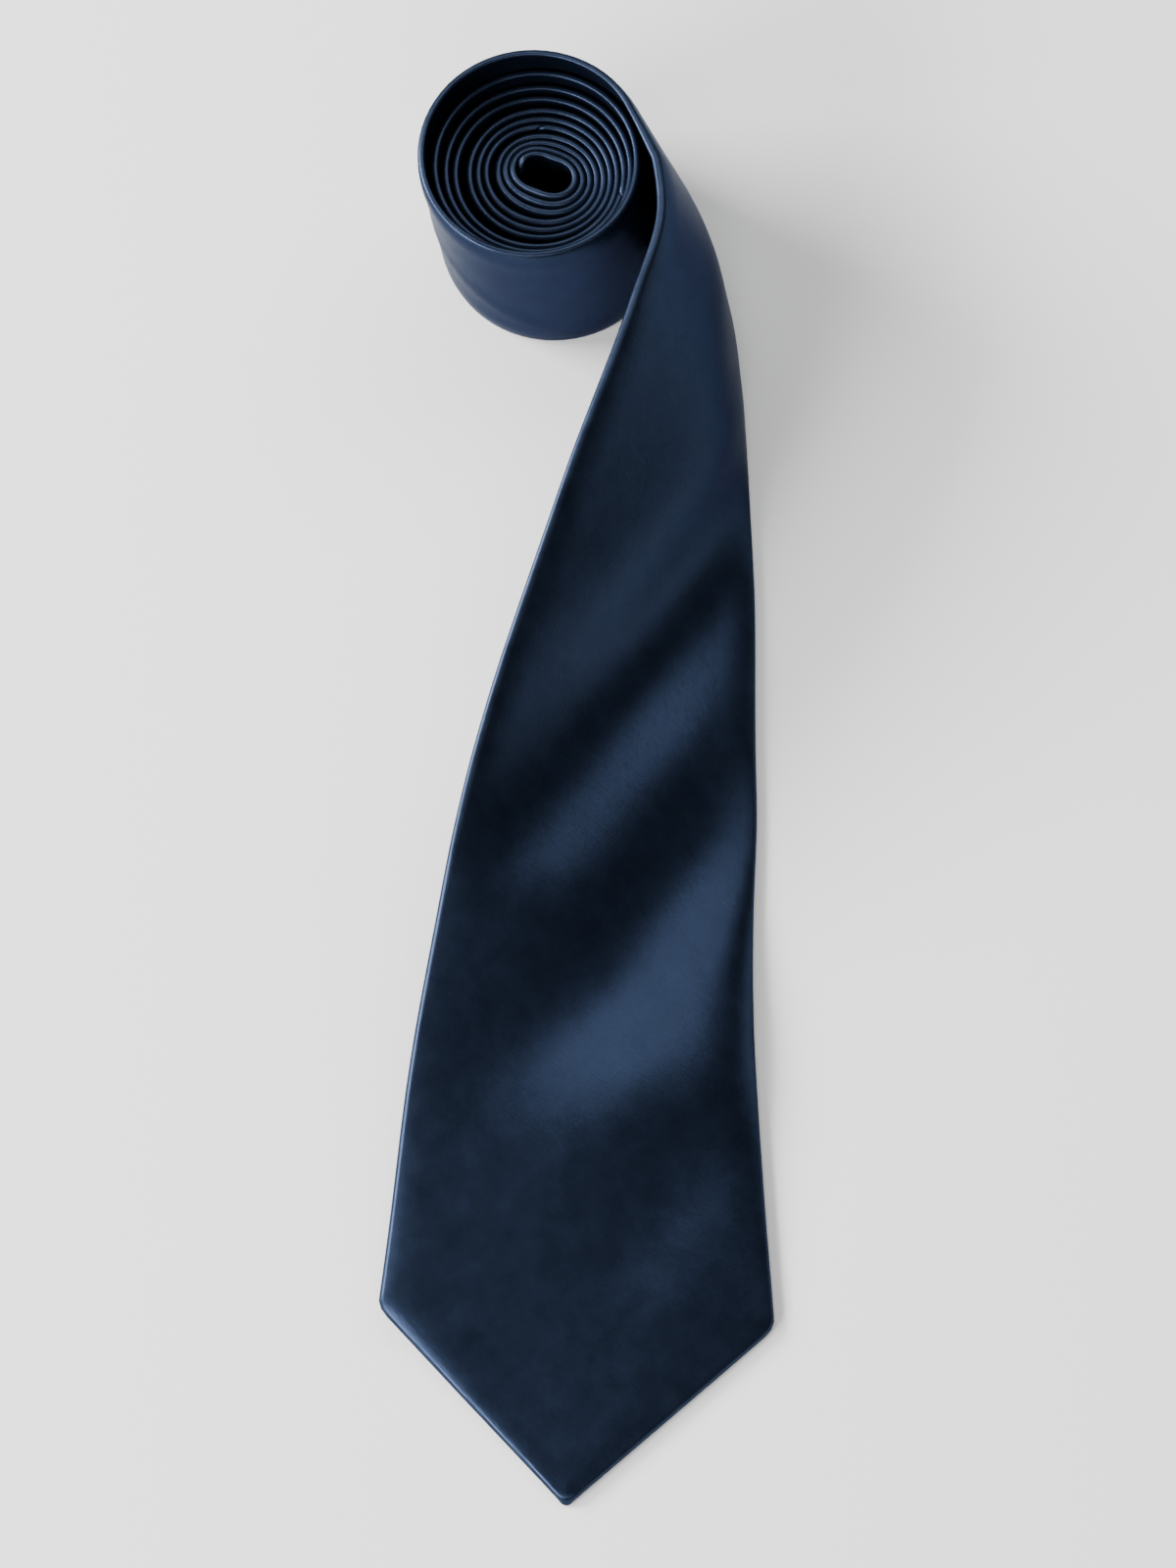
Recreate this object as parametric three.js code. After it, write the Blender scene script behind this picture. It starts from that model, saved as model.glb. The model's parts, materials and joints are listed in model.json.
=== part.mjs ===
// A silk necktie with its wide end laid flat and the rest rolled up from the narrow end.
// The roll stands on its edge, and the strip between roll and blade makes a quarter twist.
// Millimetres, +Z up. +Y runs from the blade's point to the roll, and the table is at Z = 0.

import * as THREE from "three";

// The tie laid out flat. Lengths along the tie are counted from the blade's point.
const tieLength = 1440;
const bladeWidth = 85.5;
const neckWidth = 37;
const tailWidth = 40;
const bladeTaper = 270; // the blade's extra width falls to a third over this length
const tailTaper = 150; // the tail's extra width falls to a third over this length
const bluntPoint = 1.5; // half the width of the blunt end of each point
const bladePanelEnd = 740; // the seam between blade panel and neck panel
const neckPanelEnd = 1120; // the seam between neck panel and tail panel
const panelGap = 0.3;

// The layers, from the satin front to the folded back.
const shellThickness = 0.22;
const interliningThickness = 0.5;
const tippingThickness = 0.12;
const looseGap = 0.4; // between layers, where the tie lies loose
const tightGap = 0.1; // between layers, where the tie is rolled up
const foldGap = 0.4; // from the inside of a fold to the layers in it
const pointInset = 4; // from the blunt points to the layers inside
const straightenLength = 14; // the strip stands upright and its layers close up before the roll

// The folded back: two hems that widen into flaps and meet in the middle.
const hemWidth = 9;
const hemStraight = 12; // past the corners before the hems start to widen
const bladeFlapsMeet = 130;
const tailFlapsMeet = 80; // from the tail's point
const seamSlit = 0.6; // between the two flaps
const tippingTuck = 16; // how far the tipping runs under the closed flaps
const tippingInset = 1.4; // from the fold to the tipping's side

// The sewing.
const threadWidth = 0.3;
const threadDepth = 0.23;
const threadSink = 0.02; // the slip stitch lies just below the back's surface
const tackLength = 7.5;
const tackWidth = 1.4;
const bladeTackRise = 0.3;
const tailTackRise = 0.18;
const tackFromMeeting = 4; // past the place where the flaps meet
const trimGap = 0.5; // between the blade's back and a piece sewn on it
const tailTrimGap = 0.1;

// The keeper loop, the blank woven label and the care label on the blade's back.
const keeperStart = 204;
const keeperLength = 12;
const keeperInset = 9; // from the folds to the loop's ends
const keeperTab = 5; // the part of each end that is sewn down
const keeperShoulder = 4; // the slope from there up to the clear part
const keeperThickness = 0.6;
const keeperSlack = 2.4;
const labelStart = 236;
const labelLength = 19;
const labelWidth = 44;
const labelThickness = 0.35;
const stitchWidth = 0.8;
const stitchRise = 0.25;
const stitchGap = 0.12;
const careStart = 160;
const careLength = 25;
const careDrop = 14.5;
const careThickness = 0.4;
const careAbove = 8; // the sewn edge's distance above the middle seam
const careStandOff = 1.3; // from the tie's back to the sewn edge

// The roll: every turn stands on the table, and the turns lean over a little at the top.
const turnClearance = 0.64; // between one turn and the next
const eyeRadius = 5.5; // inside the last turn
const eyeShift = new THREE.Vector2(2.3, 0.4); // the inner turns lie off the outer turn's middle
const rollLean = new THREE.Vector2(-0.083, -0.063); // sideways for each millimetre of height
const rollDraft = 0.022; // the outer turn narrows by this much for each millimetre of height
const stepsPerTurn = 16;
const settleRounds = 4;
const exitAngle = THREE.MathUtils.degToRad(25); // where the strip leaves the roll, from +X
const exitFoot = new THREE.Vector2(15.1, 269.6); // that place on the table

// The strip's middle line seen from above, from the blade's corners to the roll.
const stripPath = [
  [0, 0],
  [1, 46],
  [2.8, 77],
  [7.8, 123],
  [14, 170],
  [18.2, 215],
  [18.2, 240],
];
const rollGuides = [0, 0.25, 0.5]; // places on the roll, in radians, that the strip runs on into
const flatBeyondCorners = 8; // the blade lies flat to here, then starts to twist
const twistDelay = 0.1; // how far the twist lags behind an even one at half way
const stripStep = 5.5;
const pointSteps = 6;
const curveSamples = 400;

// The strip sags at its middle seam, between the places where its sides fold up.
const sagDepth = 6.4;
const sagStarts = 120;
const sagIsDeep = [155, 190];
const sagEnds = 235;

const bladePoint = bladeWidth / 2; // a square point is as deep as half its width
const tailPoint = tailWidth / 2;
const up = new THREE.Vector3(0, 0, 1);

// ---- the tie laid out flat ----

function fullWidth(s) {
  const past = Math.max(s - bladePoint, 0);
  const left = Math.max(tieLength - tailPoint - s, 0);
  const blade = (bladeWidth - neckWidth) * Math.exp(-past / bladeTaper);
  const tail = (tailWidth - neckWidth) * Math.exp(-left / tailTaper);
  return neckWidth + blade + tail;
}

// The two edges at s, as distances across the tie from its foot edge.
function edgesAt(s) {
  const middle = fullWidth(s) / 2;
  const fromEnd = Math.min(s, tieLength - s);
  const half = Math.min(middle, Math.max(fromEnd, bluntPoint));
  return { low: middle - half, middle, high: middle + half };
}

function gapAt(s) {
  const closed = THREE.MathUtils.smoothstep(s, stripEnd - straightenLength, stripEnd);
  return THREE.MathUtils.lerp(looseGap, tightGap, closed);
}

function thicknessWith(gap) {
  return 2 * shellThickness + interliningThickness + tippingThickness + 3 * gap;
}

// How wide each back flap is, measured across the tie.
function flapAt(s) {
  const half = fullWidth(s) / 2;
  const slanted = hemWidth * Math.SQRT2;
  const opens = (distance, corner, meet) => {
    const grown = (distance - corner - hemStraight) / (meet - corner - hemStraight);
    return THREE.MathUtils.lerp(slanted, half, THREE.MathUtils.clamp(grown, 0, 1));
  };
  const bladeFlap = opens(s, bladePoint, bladeFlapsMeet);
  const tailFlap = opens(tieLength - s, tailPoint, tailFlapsMeet);
  return Math.min(bladeFlap, tailFlap);
}

function sagAt(s) {
  const grown = THREE.MathUtils.smoothstep(s, sagStarts, sagIsDeep[0]);
  const faded = THREE.MathUtils.smoothstep(s, sagIsDeep[1], sagEnds);
  return sagDepth * (grown - faded);
}

// ---- the way the tie lies ----

const turnPitch = thicknessWith(tightGap) + turnClearance;
const tipToCorner = new THREE.Vector2(-1.5, -bladePoint);

// The roll holds what the strip doesn't, so its outer radius follows from the length.
function rollRadiusFor(length) {
  return Math.sqrt(eyeRadius ** 2 + (length * turnPitch) / Math.PI);
}

// A ruling of the roll leans with the roll and draws in towards the top.
function rollRuling(angle, radius, outer) {
  const draft = (rollDraft * radius) / outer;
  const x = rollLean.x - draft * Math.cos(angle);
  const y = rollLean.y - draft * Math.sin(angle);
  return new THREE.Vector3(x, y, 1).normalize();
}

function buildStripCurve(outer) {
  const centre = exitFoot.clone();
  centre.x -= outer * Math.cos(exitAngle);
  centre.y -= outer * Math.sin(exitAngle);
  const points = [tipToCorner.toArray(), ...stripPath].map(([x, y]) => new THREE.Vector3(x, y, 0));
  const halfHeight = fullWidth(exitFoot.y + bladePoint) / 2;
  for (const turned of rollGuides) {
    const angle = exitAngle + turned;
    const ruling = rollRuling(angle, outer, outer);
    points.push(new THREE.Vector3(
      centre.x + outer * Math.cos(angle) + ruling.x * halfHeight,
      centre.y + outer * Math.sin(angle) + ruling.y * halfHeight,
      0,
    ));
  }
  const curve = new THREE.CatmullRomCurve3(points);
  return { curve, lastKnot: points.length - rollGuides.length, knots: points.length };
}

// The strip's length and the roll's radius depend on each other, and settle in a few rounds.
let rollRadius = rollRadiusFor(tieLength - exitFoot.y - bladePoint);
let strip = buildStripCurve(rollRadius);
let stripEnd = 0;
for (let round = 0; round < settleRounds; round += 1) {
  strip = buildStripCurve(rollRadius);
  strip.curve.arcLengthDivisions = curveSamples;
  strip.curve.updateArcLengths();
  const share = strip.lastKnot / (strip.knots - 1);
  stripEnd = strip.curve.getLengths(curveSamples)[Math.round(share * curveSamples)];
  rollRadius = rollRadiusFor(tieLength - stripEnd);
}
const stripLength = strip.curve.getLength();
const turns = (rollRadius - eyeRadius) / turnPitch;

function twistAt(s) {
  const start = bladePoint + flatBeyondCorners;
  const end = stripEnd - straightenLength;
  const share = THREE.MathUtils.clamp((s - start) / (end - start), 0, 1);
  return (Math.PI / 2) * (share - twistDelay * Math.sin(Math.PI * share));
}

// A station is a place along the tie: its foot, the ruling up its face, and the face's normal.
function makeStation(s, foot, along, ruling) {
  const normal = new THREE.Vector3().crossVectors(along, ruling).normalize();
  const thickness = thicknessWith(gapAt(s));
  foot.z = Math.max(0, normal.z) * thickness;
  return { s, foot, ruling, normal };
}

function stripStation(s) {
  const share = THREE.MathUtils.clamp(s / stripLength, 0, 1);
  const middle = strip.curve.getPointAt(share);
  const along = strip.curve.getTangentAt(share);
  const left = new THREE.Vector3(-along.y, along.x, 0);
  const twist = twistAt(s);
  const rise = Math.sin(twist);
  const lean = new THREE.Vector3(rollLean.x, rollLean.y, 0).addScaledVector(left, rollDraft);
  const ruling = left.multiplyScalar(Math.cos(twist))
    .addScaledVector(up, rise)
    .addScaledVector(lean, rise ** 3)
    .normalize();
  const half = fullWidth(s) / 2;
  const foot = middle.addScaledVector(new THREE.Vector3(ruling.x, ruling.y, 0), -half);
  return makeStation(s, foot, along, ruling);
}

function rollStation(s, turned) {
  const radius = rollRadius - (turnPitch * turned) / (2 * Math.PI);
  const angle = exitAngle + turned;
  const inward = (rollRadius - radius) / (rollRadius - eyeRadius);
  const centreX = exitFoot.x - rollRadius * Math.cos(exitAngle) + eyeShift.x * inward;
  const centreY = exitFoot.y - rollRadius * Math.sin(exitAngle) + eyeShift.y * inward;
  const x = centreX + radius * Math.cos(angle);
  const y = centreY + radius * Math.sin(angle);
  const along = new THREE.Vector3(-Math.sin(angle), Math.cos(angle), 0);
  return makeStation(s, new THREE.Vector3(x, y, 0), along, rollRuling(angle, radius, rollRadius));
}

// The length of spiral from the strip's end to a place that has turned by so much.
function spiralLength(turned) {
  return rollRadius * turned - (turnPitch * turned ** 2) / (4 * Math.PI);
}

function allStations() {
  const list = [];
  for (let i = 0; i < pointSteps; i += 1) {
    list.push(stripStation(THREE.MathUtils.lerp(bluntPoint, bladePoint, i / pointSteps)));
  }
  const stripSteps = Math.ceil((stripEnd - bladePoint) / stripStep);
  for (let i = 0; i < stripSteps; i += 1) {
    list.push(stripStation(THREE.MathUtils.lerp(bladePoint, stripEnd, i / stripSteps)));
  }
  const rollSteps = Math.floor(turns * stepsPerTurn);
  for (let i = 0; i <= rollSteps; i += 1) {
    const turned = (i * 2 * Math.PI) / stepsPerTurn;
    const s = stripEnd + spiralLength(turned);
    if (s < tieLength - bluntPoint) list.push(rollStation(s, turned));
  }
  const endS = tieLength - bluntPoint;
  if (endS - list.at(-1).s > bluntPoint) list.push(rollStation(endS, turns * 2 * Math.PI));
  return list;
}

const stations = allStations();

// A place between two stations lies on the straight line from one to the other.
function stationAt(s) {
  let i = stations.findIndex((station) => station.s > s);
  if (i < 0) i = stations.length - 1;
  const before = stations[Math.max(i - 1, 0)];
  const after = stations[Math.max(i, 1)];
  const share = (s - before.s) / (after.s - before.s);
  return {
    s,
    foot: before.foot.clone().lerp(after.foot, share),
    ruling: before.ruling.clone().lerp(after.ruling, share),
    normal: before.normal.clone().lerp(after.normal, share),
  };
}

// across runs up the face from the foot edge, and deep runs from the front to the back.
function place(station, across, deep) {
  const fromMiddle = Math.abs((2 * across) / fullWidth(station.s) - 1);
  const sag = sagAt(station.s) * (1 - fromMiddle);
  return station.foot.clone()
    .addScaledVector(station.ruling, across)
    .addScaledVector(station.normal, -deep - sag);
}

// ---- solids ----

// A closed solid whose section, a list of [across, deep], changes along the stations.
// Each side is split from its lower point ahead to its higher point behind, on every layer
// alike, so that layers that twist together stay apart.
function loft(stationList, sectionAt) {
  const sections = stationList.map((station) => sectionAt(station.s));
  const outlineOf = (section) => section.map((corner) => new THREE.Vector2(...corner));
  if (THREE.ShapeUtils.isClockWise(outlineOf(sections[0]))) {
    for (const section of sections) section.reverse();
  }
  const count = sections[0].length;
  const positions = [];
  const point = (i, j) => place(stationList[i], ...sections[i][j % count]);
  const triangle = (a, b, c) => positions.push(...a.toArray(), ...b.toArray(), ...c.toArray());
  for (let i = 0; i + 1 < stationList.length; i += 1) {
    for (let j = 0; j < count; j += 1) {
      const [a, b, c, d] = [point(i, j), point(i, j + 1), point(i + 1, j + 1), point(i + 1, j)];
      const step = new THREE.Vector2(...sections[i][(j + 1) % count]);
      step.sub(new THREE.Vector2(...sections[i][j]));
      if (step.x > 0 || (step.x === 0 && step.y > 0)) {
        triangle(a, c, b);
        triangle(a, d, c);
      } else {
        triangle(a, d, b);
        triangle(b, d, c);
      }
    }
  }
  const last = stationList.length - 1;
  for (const [i, forward] of [[0, true], [last, false]]) {
    for (const [a, b, c] of THREE.ShapeUtils.triangulateShape(outlineOf(sections[i]), [])) {
      const corners = [point(i, a), point(i, b), point(i, c)];
      triangle(...(forward ? corners : corners.reverse()));
    }
  }
  const geometry = new THREE.BufferGeometry();
  geometry.setAttribute("position", new THREE.Float32BufferAttribute(positions, 3));
  geometry.computeVertexNormals();
  return geometry;
}

// The stations from one place to another, with a station of its own at each end.
function stretch(from, to, closest = 0.4) {
  const between = stations.filter(({ s }) => s > from + closest && s < to - closest);
  return [stationAt(from), ...between, stationAt(to)];
}

// Layer depths, counted from the front.
function depthsAt(s) {
  const gap = gapAt(s);
  const interliningTop = shellThickness + gap;
  const tippingTop = interliningTop + interliningThickness + gap;
  return { interliningTop, tippingTop, back: thicknessWith(gap) };
}

function shellSection(s) {
  const { low, middle, high } = edgesAt(s);
  const { back } = depthsAt(s);
  const flap = flapAt(s);
  const lowFlap = Math.min(low + flap, middle - seamSlit / 2);
  const highFlap = Math.max(high - flap, middle + seamSlit / 2);
  const inner = back - shellThickness;
  return [
    [highFlap, back],
    [high, back],
    [high, 0],
    [middle, 0],
    [low, 0],
    [low, back],
    [lowFlap, back],
    [lowFlap, inner],
    [low + shellThickness, inner],
    [low + shellThickness, shellThickness],
    [middle, shellThickness],
    [high - shellThickness, shellThickness],
    [high - shellThickness, inner],
    [highFlap, inner],
  ];
}

// A flat layer with a point in the middle of each face, as the shell has.
function layerSection(low, middle, high, top, bottom) {
  return [
    [low, bottom],
    [middle, bottom],
    [high, bottom],
    [high, top],
    [middle, top],
    [low, top],
  ];
}

function interliningSection(s) {
  const { low, middle, high } = edgesAt(s);
  const top = depthsAt(s).interliningTop;
  const inset = shellThickness + foldGap;
  return layerSection(low + inset, middle, high - inset, top, top + interliningThickness);
}

function tippingSection(s) {
  const { low, middle, high } = edgesAt(s);
  const top = depthsAt(s).tippingTop;
  const inset = tippingInset;
  return layerSection(low + inset, middle, high - inset, top, top + tippingThickness);
}

// A bar centred on a place across the back, standing off it and as high as rise.
function barSection(centreAt, width, standOff, rise) {
  return (s) => {
    const top = depthsAt(s).back + standOff;
    const centre = centreAt(s);
    const half = width / 2;
    return layerSection(centre - half, centre, centre + half, top, top + rise);
  };
}

const middleAt = (s) => edgesAt(s).middle;

// The loop is sewn down at both ends and stands off the back between them.
function keeperSection(s) {
  const { low, middle, high } = edgesAt(s);
  const sewn = depthsAt(s).back + trimGap;
  const clear = sewn + keeperSlack;
  const [a, d] = [low + keeperInset, high - keeperInset];
  const [b, c] = [a + keeperTab, d - keeperTab];
  const inside = [
    [a, sewn],
    [b, sewn],
    [b + keeperShoulder, clear],
    [middle, clear],
    [c - keeperShoulder, clear],
    [c, sewn],
    [d, sewn],
  ];
  const outside = inside.map(([across, deep]) => [across, deep + keeperThickness]);
  return [...inside, ...outside.reverse()];
}

// The sewn edge runs along the tie's back, and the label hangs straight down from it.
function careLabelGeometry() {
  const [from, to] = [careStart, careStart + careLength].map((s) => (
    place(stationAt(s), middleAt(s) + careAbove, depthsAt(s).back + careStandOff)
  ));
  const along = to.clone().sub(from).normalize();
  const sideways = new THREE.Vector3().crossVectors(along, up).normalize();
  const upright = new THREE.Vector3().crossVectors(sideways, along);
  const geometry = new THREE.BoxGeometry(careThickness, careLength, careDrop);
  geometry.translate(0, 0, -careDrop / 2);
  geometry.applyMatrix4(new THREE.Matrix4().makeBasis(sideways, along, upright));
  geometry.translate(...from.add(to).multiplyScalar(0.5).toArray());
  return geometry;
}

// ---- the pieces ----

const satin = { color: 0x141b2c, roughness: 0.42, metalness: 0 };
const lining = { color: 0x1b2233, roughness: 0.5, metalness: 0 };
const wool = { color: 0xe6e1d4, roughness: 0.95, metalness: 0 };
const thread = { color: 0x0f1422, roughness: 0.7, metalness: 0 };
const ribbon = { color: 0x10151f, roughness: 0.8, metalness: 0 };
const whiteRibbon = { color: 0xe9e9e4, roughness: 0.8, metalness: 0 };

const tie = new THREE.Group();

function add(name, finish, geometry) {
  const mesh = new THREE.Mesh(geometry, new THREE.MeshStandardMaterial(finish));
  mesh.name = name;
  tie.add(mesh);
}

const halfGap = panelGap / 2;
const bladeStretch = stretch(bluntPoint, bladePanelEnd - halfGap);
add("blade_shell", satin, loft(bladeStretch, shellSection));
const neckStretch = stretch(bladePanelEnd + halfGap, neckPanelEnd - halfGap);
add("neck_shell", satin, loft(neckStretch, shellSection));
const tailStretch = stretch(neckPanelEnd + halfGap, tieLength - bluntPoint);
add("tail_shell", satin, loft(tailStretch, shellSection));

const insidePoint = bluntPoint + pointInset;
add("interlining", wool, loft(stretch(insidePoint, tieLength - insidePoint), interliningSection));
add("blade_tipping", lining, loft(stretch(insidePoint, bladeFlapsMeet + tippingTuck), tippingSection));
const tailTippingStart = tieLength - tailFlapsMeet - tippingTuck;
add("tail_tipping", lining, loft(stretch(tailTippingStart, tieLength - insidePoint), tippingSection));

const bladeTackAt = bladeFlapsMeet + tackFromMeeting;
const tailTackAt = tieLength - tailFlapsMeet - tackFromMeeting;
const threadSection = barSection(middleAt, threadWidth, -threadDepth - threadSink, threadDepth);
add("slip_stitch_thread", thread, loft(stretch(bladeTackAt, tailTackAt), threadSection));
const tackEnds = (s) => [s - tackWidth / 2, s + tackWidth / 2].map(stationAt);
const bladeTack = barSection(middleAt, tackLength, trimGap, bladeTackRise);
add("blade_bar_tack", thread, loft(tackEnds(bladeTackAt), bladeTack));
const tailTack = barSection(middleAt, tackLength, tailTrimGap, tailTackRise);
add("tail_bar_tack", thread, loft(tackEnds(tailTackAt), tailTack));

const keeperStretch = stretch(keeperStart, keeperStart + keeperLength, 1);
add("keeper_loop", satin, loft(keeperStretch, keeperSection));
const keeperStitchRise = trimGap + keeperThickness + stitchGap;
const keeperEnds = {
  lower: (s) => edgesAt(s).low + keeperInset + keeperTab / 2,
  upper: (s) => edgesAt(s).high - keeperInset - keeperTab / 2,
};
for (const [side, centreAt] of Object.entries(keeperEnds)) {
  const stitch = barSection(centreAt, stitchWidth, keeperStitchRise, stitchRise);
  add(`keeper_stitch_${side}`, thread, loft(keeperStretch, stitch));
}

const labelStretch = stretch(labelStart, labelStart + labelLength, 1);
const labelSection = barSection(middleAt, labelWidth, trimGap, labelThickness);
add("woven_label", ribbon, loft(labelStretch, labelSection));
const labelStitchRise = trimGap + labelThickness + stitchGap;
const labelSide = labelWidth / 2 - stitchWidth;
for (const [side, offset] of [["lower", -labelSide], ["upper", labelSide]]) {
  const stitch = barSection((s) => middleAt(s) + offset, stitchWidth, labelStitchRise, stitchRise);
  add(`label_stitch_${side}`, thread, loft(labelStretch, stitch));
}

add("care_label", whiteRibbon, careLabelGeometry());
const careStretch = stretch(careStart, careStart + careLength, 1);
const careStitchAt = (s) => middleAt(s) + careAbove + careStandOff + stitchWidth;
const careStitch = barSection(careStitchAt, stitchWidth, trimGap, stitchRise);
add("care_label_stitch", thread, loft(careStretch, careStitch));

// The origin is on the table, below the middle of the whole tie.
const bounds = new THREE.Box3().setFromObject(tie);
const centre = bounds.getCenter(new THREE.Vector3());
tie.position.set(-centre.x, -centre.y, -bounds.min.z);
tie.updateMatrixWorld(true);

export default tie;
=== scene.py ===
# A dark navy satin necktie: the blade lies flat, the strip behind it makes a quarter twist,
# and the rest is rolled up on edge. Lengths are in millimetres until a mesh is made.
import json
import math

import bmesh
import bpy
import numpy as np
from mathutils import Matrix, Vector

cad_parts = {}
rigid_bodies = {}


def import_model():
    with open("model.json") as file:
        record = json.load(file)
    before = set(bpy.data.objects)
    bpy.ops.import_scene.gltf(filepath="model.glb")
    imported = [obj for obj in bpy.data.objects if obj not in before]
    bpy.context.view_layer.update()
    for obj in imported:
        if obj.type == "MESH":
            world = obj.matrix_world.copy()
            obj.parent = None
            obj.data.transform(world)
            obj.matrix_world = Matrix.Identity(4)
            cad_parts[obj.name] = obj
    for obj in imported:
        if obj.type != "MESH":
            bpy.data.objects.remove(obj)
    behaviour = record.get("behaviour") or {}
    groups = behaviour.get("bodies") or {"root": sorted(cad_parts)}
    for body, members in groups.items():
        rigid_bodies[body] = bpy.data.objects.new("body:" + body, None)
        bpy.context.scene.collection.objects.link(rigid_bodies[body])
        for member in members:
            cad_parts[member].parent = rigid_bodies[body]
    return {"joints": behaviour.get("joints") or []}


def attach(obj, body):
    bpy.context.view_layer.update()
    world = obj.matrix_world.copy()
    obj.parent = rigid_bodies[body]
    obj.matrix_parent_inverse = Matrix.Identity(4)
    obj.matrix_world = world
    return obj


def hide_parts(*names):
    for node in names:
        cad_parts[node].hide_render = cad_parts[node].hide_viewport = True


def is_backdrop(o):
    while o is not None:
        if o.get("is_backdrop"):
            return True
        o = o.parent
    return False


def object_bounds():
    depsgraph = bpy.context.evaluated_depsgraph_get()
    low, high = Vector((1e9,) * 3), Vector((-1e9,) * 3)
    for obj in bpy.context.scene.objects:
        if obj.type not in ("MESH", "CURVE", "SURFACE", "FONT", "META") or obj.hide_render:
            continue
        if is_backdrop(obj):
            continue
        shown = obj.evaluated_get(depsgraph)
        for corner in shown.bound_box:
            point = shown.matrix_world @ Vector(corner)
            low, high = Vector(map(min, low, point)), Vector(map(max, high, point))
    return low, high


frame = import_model()
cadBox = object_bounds()
mm = 0.001

# ---- camera ----

cameraSetup = {
    "aim": (-0.0008, 0.0012, 0.0),
    "distance": 1.2,
    "azimuth": -5.5,
    "elevation": 69.3,
    "roll": -4.3,
    "lens": 123.7,
}


def addCamera(setup):
    azimuth, elevation = math.radians(setup["azimuth"]), math.radians(setup["elevation"])
    forward = Vector((
        math.sin(azimuth) * math.cos(elevation),
        math.cos(azimuth) * math.cos(elevation),
        -math.sin(elevation),
    ))
    data = bpy.data.cameras.new("camera")
    data.lens = setup["lens"]
    data.clip_start = 0.05
    data.clip_end = 20.0
    camera = bpy.data.objects.new("camera", data)
    bpy.context.collection.objects.link(camera)
    right = Vector((math.cos(azimuth), -math.sin(azimuth), 0.0))
    lift = right.cross(forward)
    turn = Matrix((right, lift, -forward)).transposed().to_4x4()
    camera.matrix_world = (
        Matrix.Translation(Vector(setup["aim"]) - forward * setup["distance"])
        @ turn
        @ Matrix.Rotation(math.radians(setup["roll"]), 4, "Z")
    )
    bpy.context.scene.camera = camera


addCamera(cameraSetup)
print("camera in place")

# ---- how the tie lies ----

tie = {
    "length": 1440.0,
    "bladeWidth": 85.5,
    "neckWidth": 37.0,
    "tailWidth": 40.0,
    "bladeTaper": 270.0,
    "tailTaper": 150.0,
    "shell": 0.22,
    "interlining": 0.5,
    "tipping": 0.12,
    "looseGap": 0.4,
    "tightGap": 0.2,
    "straighten": 14.0,  # the strip stands upright and its layers close up before the roll
    "hem": 9.0,
    "hemStraight": 12.0,
    "bladeFlapsMeet": 130.0,
    "tailFlapsMeet": 80.0,
    "slit": 0.5,
    "pointRound": 1.7,
    "cornerRound": 2.2,
    "bluntPoint": 1.5,
    "pointStart": 2.3,
    "pointSpread": 1.041,
    "edgeRoll": 0.8,  # the face rolls over towards the folds
    "edgeReach": 7.0,
    "bladePanelEnd": 740.0,
    "neckPanelEnd": 1120.0,
    "pointInset": 5.5,  # from the points to the layers inside
    "interliningInset": 1.1,
    "tippingInset": 1.9,
    "tippingTuck": 16.0,
}

roll = {
    "clearance": 0.34,
    "eye": 5.5,
    "eyeShift": (2.3, 0.4),
    "lean": (-0.083, -0.063),
    "draft": 0.022,
    "exitAngle": math.radians(25),
    "exitFoot": (13.2, 268.4),
    "guides": (0, 0.25, 0.5),  # places on the roll, in radians, that the strip's line runs on into
    "passShifts": (0, 0.15, 0.3, 0.45, -0.55, -0.4, -0.2, -0.95, -0.7, -0.4, 0),
    "eyeSquash": 0.22,
    "eyeSquashAngle": math.radians(-24),
    "lip": 0.9,  # the outer turn's top edge flares
    "waist": 0.3,
    "crease": 0.45,  # and a soft crease runs down its wall
}

strip = {
    "path": [(0, 0), (1, 46), (3, 77), (8.8, 123), (16, 170), (21.3, 215), (21.6, 240)],
    "tip": (-1.3, -42.75),
    "flatBeyond": 8.0,
    "curl": math.radians(13),  # the raised edge turns up between blade and roll
    "curlGrows": (60, 120),
    "curlFades": (205, 262),
    "bulge": math.radians(9),  # and the face has a ridge where it joins the roll
    "bulgeGrows": (215, 262),
    "ridge": 0.45,
    "easeIn": 22.0,
    "twistDelay": 0.1,
    "slant": 2.1,  # how steeply the ripples cross the strip, and how they bow
    "bow": 0.77,
    # Each ripple's place, half width, middle across, half length across and degrees.
    "ripples": (
        (68, 30, 0.5, 0.85, 17), (109, 20, 0.45, 1.6, 29), (109, 20, 0.57, 0.3, -34),
        (101, 19, 0.26, 0.15, -31), (161, 18, 0.17, 1.3, -29), (185, 14, 0.8, 1.0, -7),
        (217, 18, 0.7, 0.7, -28), (259, 17, 0.42, 0.4, 24),
    ),
}

settleRounds = 4
splineSteps = 80
courseRows, courseColumns = 4321, 49
bladePoint = tie["bladeWidth"] / 2
tailPoint = tie["tailWidth"] / 2


def smooth(value, start, end):
    share = np.clip((value - start) / (end - start), 0, 1)
    return share * share * (3 - 2 * share)


def fullWidth(s):
    past = np.maximum(s - bladePoint, 0)
    left = np.maximum(tie["length"] - tailPoint - s, 0)
    blade = (tie["bladeWidth"] - tie["neckWidth"]) * np.exp(-past / tie["bladeTaper"])
    tail = (tie["tailWidth"] - tie["neckWidth"]) * np.exp(-left / tie["tailTaper"])
    return tie["neckWidth"] + blade + tail


def thicknessWith(gap):
    return 2 * tie["shell"] + tie["interlining"] + tie["tipping"] + 3 * gap


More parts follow.
